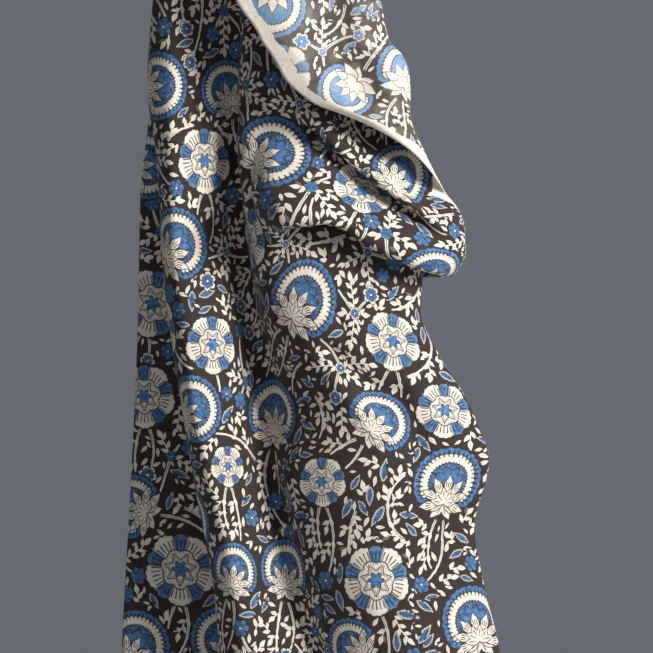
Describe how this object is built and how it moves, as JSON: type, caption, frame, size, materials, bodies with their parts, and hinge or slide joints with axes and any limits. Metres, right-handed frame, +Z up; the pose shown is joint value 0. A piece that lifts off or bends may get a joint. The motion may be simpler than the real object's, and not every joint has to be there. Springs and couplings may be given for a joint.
{
  "type": "block-printed cotton fabric",
  "caption": "Cut length of light block-printed cotton hanging in soft folds, its selvedge turned forward over the front, with slanting tucks below.",
  "frame": {"origin": "on the held top edge, in front of the middle folds, at the height the cloth hangs from", "axes": "+Z up along the hang, +X to the right when facing the printed front, front facing -Y"},
  "size_m": [0.2898, 0.1431, 0.7351],
  "materials": {
    "printed_cotton": "matte plain weave, printed on the front"
  },
  "bodies": {
    "root": {"cloth": "printed_cotton"}
  },
  "joints": []
}
